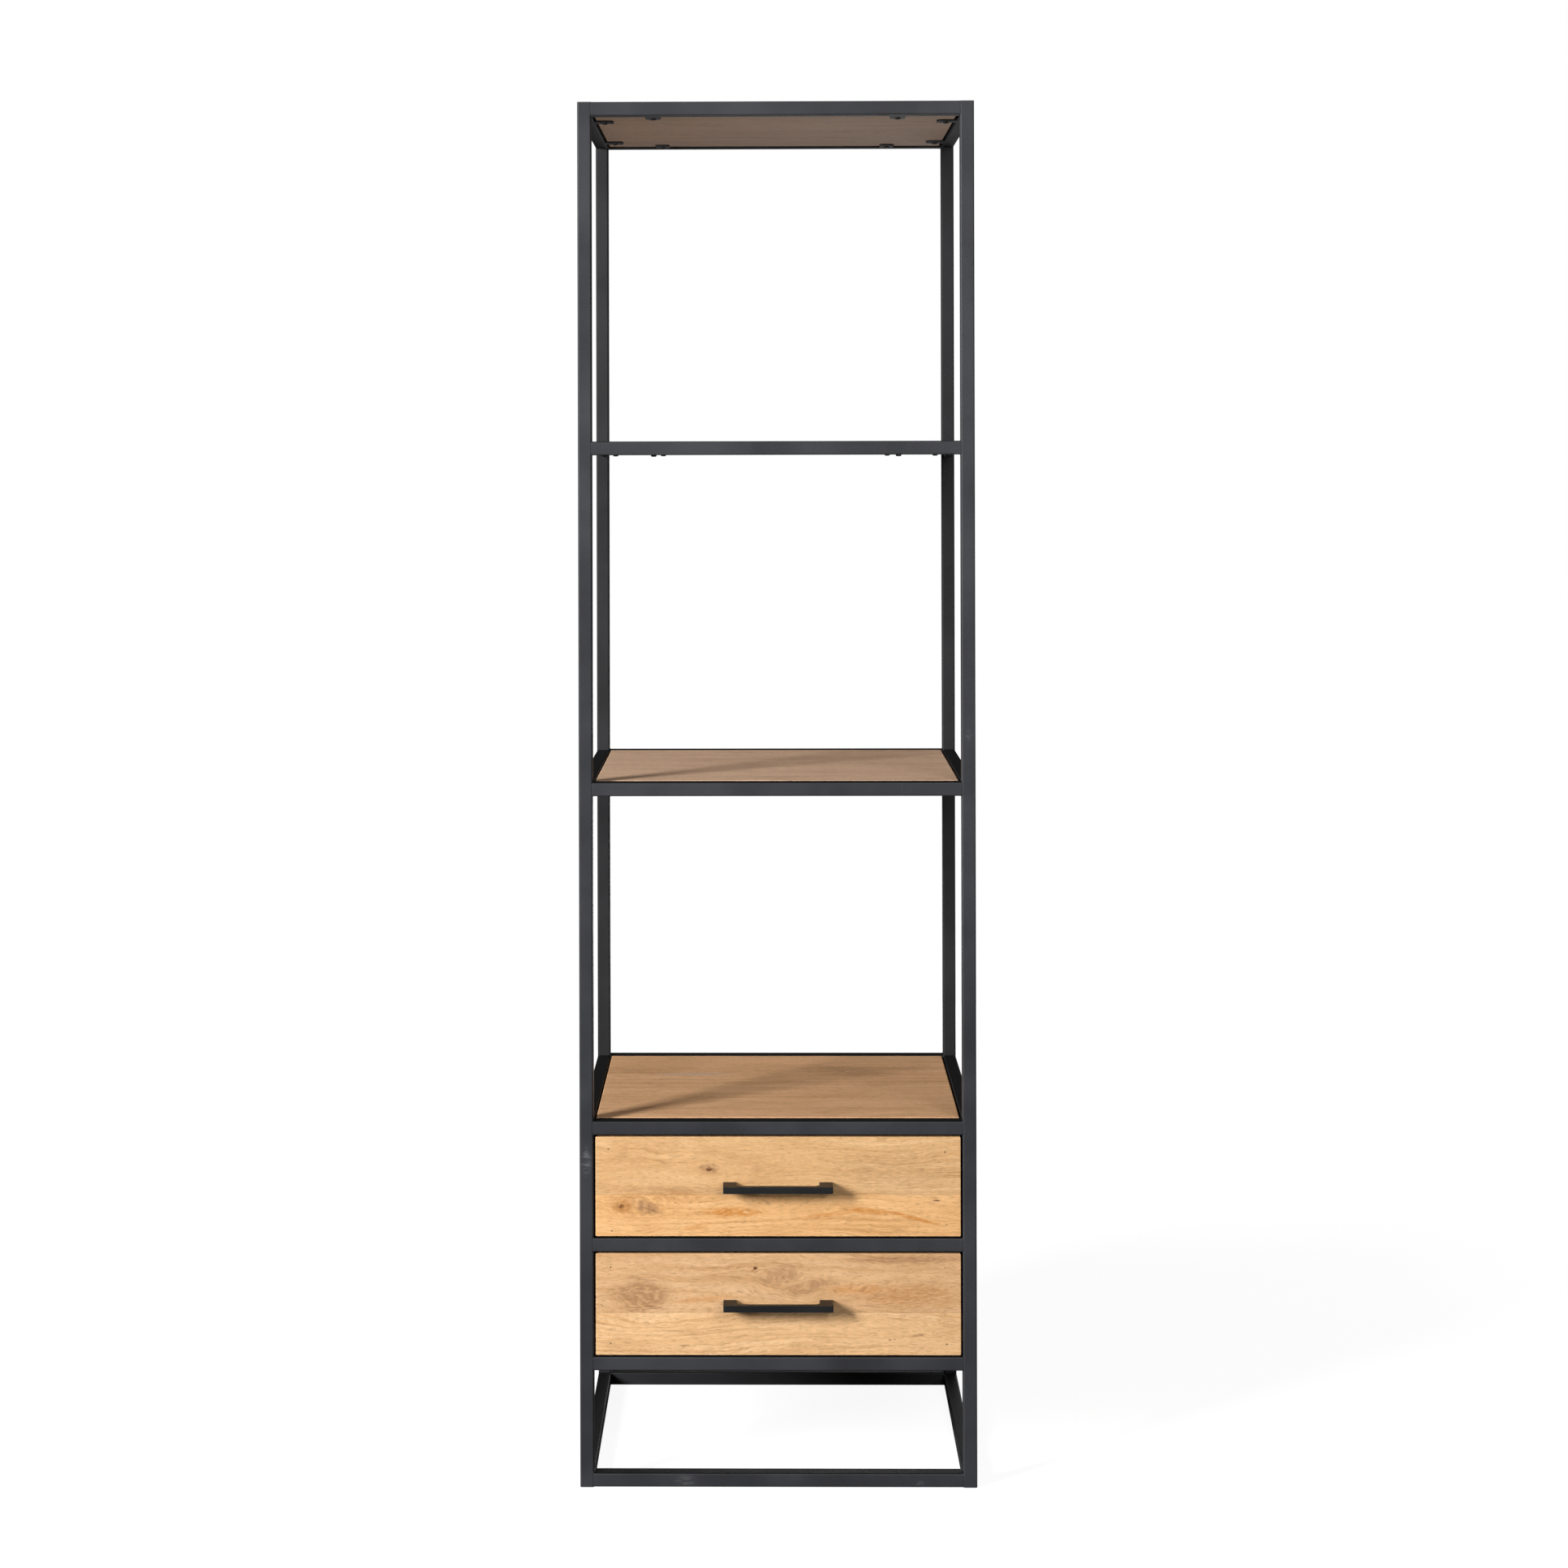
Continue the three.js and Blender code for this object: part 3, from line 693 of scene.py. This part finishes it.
def add_weld(bm, centre, axis, outward, dice):
    """A bead round a square tube where it meets a post, ground flush on the outward side.
    axis is the tube's length."""
    matrix = facing(centre, axis)
    corner = 0.0025
    outline = corners(TUBE / 2, corner, 4)
    rings = []
    for along, rise in WELD:
        ring = []
        for cx, cy, ux, uy in outline:
            ground = Vector(outward).dot(matrix.to_3x3() @ Vector((ux, uy, 0.0))) > 0.5
            reach = corner + (WELD_GROUND if ground else rise) + dice.uniform(-0.00003, 0.00005)
            ring.append((cx + reach * ux, cy + reach * uy, along))
        rings.append(ring)
    add_rings(bm, matrix, rings)


def add_welds(material, dice):
    bm = bmesh.new()
    half = TUBE / 2
    levels = [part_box(f"{ring}_front_rail")[1].z for ring in RINGS]
    for level in levels:
        z = level - half
        for side in (-1, 1):
            for y, outward in ((FRAME_FRONT + half, (0, -1, 0)), (FRAME_BACK - half, (0, 1, 0))):
                add_weld(bm, (side * (RIGHT_X - TUBE), y, z), (1, 0, 0), outward, dice)
            for y in (FRAME_FRONT + TUBE, FRAME_BACK - TUBE):
                add_weld(bm, (side * (RIGHT_X - half), y, z), (0, 1, 0), (side, 0, 0), dice)
    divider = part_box("drawer_divider_rail")[1].z - half
    for side in (-1, 1):
        add_weld(bm, (side * (RIGHT_X - TUBE), FRAME_FRONT + half, divider), (1, 0, 0), (0, -1, 0), dice)
    make_piece("frame_welds", bm, material, "frame", smooth=60.0)


def add_glides(material):
    bm = bmesh.new()
    half = TUBE / 2
    for x in (LEFT_X + half, RIGHT_X - half):
        for y in (FRAME_FRONT + half, FRAME_BACK - half):
            add_rings(bm, Matrix.Translation((x, y, 0)), [rounded(*ring) for ring in GLIDE])
    make_piece("floor_glides", bm, material, "frame")


def add_nails(material, dice):
    for drawer in DRAWERS:
        low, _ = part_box(f"{drawer}_front")
        bm = bmesh.new()
        for x, z in FRONT_NAILS[drawer]:
            radius = dice.uniform(0.0009, 0.0012)
            matrix = facing((x / 1000, low.y + 0.0002, low.z + z / 1000), (0, -1, 0))
            add_rings(bm, matrix, [circle(share * radius, height, 12) for share, height in NAIL])
        make_piece(f"{drawer}_nails", bm, material, drawer)


def add_handle_screws(drawer, material, dice):
    """A screw on a washer behind each foot of the handle, inside the drawer."""
    low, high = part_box(f"{drawer}_handle")
    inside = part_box(f"{drawer}_front")[1].y
    z = (low.z + high.z) / 2
    reach = (high.x - low.x) / 2 - HANDLE_HOLE
    bm = bmesh.new()
    for x in (-reach, reach):
        add_rings(bm, facing((x, inside, z), (0, 1, 0)), [circle(*ring, 20) for ring in WASHER])
        add_screw(bm, (x, inside + 0.0008, z), (0, 1, 0), HANDLE_SCREW, dice)
    make_piece(f"{drawer}_handle_screws", bm, material, drawer)


def add_slide_hardware(drawer, material, dice):
    """The screws of the slides' inner and outer members, and the balls of their middle members."""
    screws = {"inner": bmesh.new(), "outer": bmesh.new()}
    balls = bmesh.new()
    for side, sign in (("left", -1), ("right", 1)):
        for member, towards in (("inner", 1), ("outer", -1)):
            low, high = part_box(f"{drawer}_{side}_slide_{member}")
            web = min(abs(low.x), abs(high.x)) if member == "inner" else max(abs(low.x), abs(high.x))
            place = sign * (web + towards * SLIDE_WALL)
            for share in SCREW_SHARES:
                point = (place, low.y + share * (high.y - low.y), (low.z + high.z) / 2)
                add_screw(screws[member], point, (sign * towards, 0, 0), SLIDE_SCREW, dice)
        low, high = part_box(f"{drawer}_{side}_slide_middle")
        middle = (low.z + high.z) / 2
        for rise, start in ((OUTER_BALLS_RISE, high.y - OUTER_BALLS_FROM_BACK),
                            (INNER_BALLS_RISE, low.y + INNER_BALLS_FROM_FRONT)):
            for number in range(BALL_COUNT):
                for up in (-1, 1):
                    place = (sign * BALL_X, start + BALL_SPACING * number, middle + up * rise)
                    bmesh.ops.create_icosphere(balls, subdivisions=2, radius=BALL_RADIUS,
                                               matrix=Matrix.Translation(place))
    make_piece(f"{drawer}_inner_slide_screws", screws["inner"], material, drawer)
    make_piece(f"{drawer}_outer_slide_screws", screws["outer"], material, "frame")
    middles = drawer.replace("drawer", "slide_middles")
    make_piece(f"{drawer}_slide_balls", balls, material, middles, smooth=80.0)


def build_pieces(steel, slide):
    dice = random.Random(SEED)
    add_board_screws(dark_iron("screw_black", SCREW_BLACK, SCREW_WORN), dice)
    add_welds(steel, dice)
    add_glides(black_plastic("glide_plastic"))
    add_nails(dark_iron("nail_iron", NAIL_BLACK, NAIL_RUST), dice)
    for drawer in DRAWERS:
        add_handle_screws(drawer, slide, dice)
        add_slide_hardware(drawer, slide, dice)


# ---------------------------------------------------------------- stage

def area_light(name, softbox, start):
    """A softbox that faces the object. start is the y that its place counts from."""
    (x, y, z), size, power = softbox
    data = bpy.data.lights.new(name, "AREA")
    data.shape = "RECTANGLE"
    data.size, data.size_y = size
    data.energy = power
    light = link(bpy.data.objects.new(name, data))
    light.location = (x, start + y, z)
    towards = Vector((0.0, FRAME_FRONT, 0.5)) - light.location
    light.rotation_euler = towards.to_track_quat("-Z", "Y").to_euler()
    return light


def build_world():
    """White for the camera, and for everything else a room that is brightest overhead and in front."""
    world = bpy.data.worlds.new("studio")
    make = Shaders(world)
    direction = make.node("ShaderNodeTexCoord").outputs["Generated"]
    height = make.vector("DOT_PRODUCT", direction, ROOM_TOWARDS)
    bright = make.fade(height, 0.0, 0.9, ROOM_DIM, ROOM_BRIGHT)
    room = make.shader("ShaderNodeBackground", 1.0, Strength=bright)
    white = make.shader("ShaderNodeBackground", 1.0)
    make.node("ShaderNodeOutputWorld", make.for_camera(room, white))
    bpy.context.scene.world = world


def build_floor():
    """A plain pale floor, white under the studio light, with only a faint shadow."""
    bm = bmesh.new()
    bmesh.ops.create_grid(bm, x_segments=1, y_segments=1, size=FLOOR_HALF)
    mesh = bpy.data.meshes.new("floor")
    bm.to_mesh(mesh)
    bm.free()
    floor = link(bpy.data.objects.new("floor", mesh))
    floor.location.z = -FLOOR_DROP
    material = bpy.data.materials.new("pale_floor")
    make = Shaders(material)
    away = make.vector("LENGTH", make.node("ShaderNodeTexCoord").outputs["Object"])
    glow = make.shader("ShaderNodeEmission", 1.0,
                       Strength=make.fade(away, GLOW_START, GLOW_END, GLOW_NEAR, GLOW_FAR))
    shaded = make.shader("ShaderNodeBsdfDiffuse", FLOOR_SHADED)
    seen = make.node("ShaderNodeAddShader", glow, shaded).outputs[0]
    bounce = make.shader("ShaderNodeBsdfDiffuse", FLOOR_BOUNCE)
    make.node("ShaderNodeOutputMaterial", make.for_camera(bounce, seen))
    mesh.materials.append(material)


def build_stage():
    build_world()
    build_floor()
    area_light("key_softbox", KEY, FRAME_FRONT)
    area_light("fill_softbox", FILL, FRAME_FRONT)
    area_light("back_softbox", BACK, FRAME_BACK).visible_camera = False
    bpy.context.scene.view_settings.view_transform = "Standard"


def build_camera():
    data = bpy.data.cameras.new("camera")
    data.sensor_width = SENSOR
    data.lens = LENS
    data.shift_x = SHIFT_X
    data.shift_y = SHIFT_Y
    camera = link(bpy.data.objects.new("camera", data))
    camera.location = (CAMERA_X, FRAME_FRONT - CAMERA_DISTANCE, CAMERA_HEIGHT)
    level = Matrix.Rotation(math.radians(90), 4, "X")
    yaw = Matrix.Rotation(math.radians(CAMERA_YAW), 4, "Z")
    roll = Matrix.Rotation(math.radians(CAMERA_ROLL), 4, "Y")
    camera.rotation_euler = (yaw @ roll @ level).to_euler()
    bpy.context.scene.camera = camera


build_camera()
build_stage()
steel_finish, zinc_finish = dress_nodes()
build_pieces(steel_finish, zinc_finish)
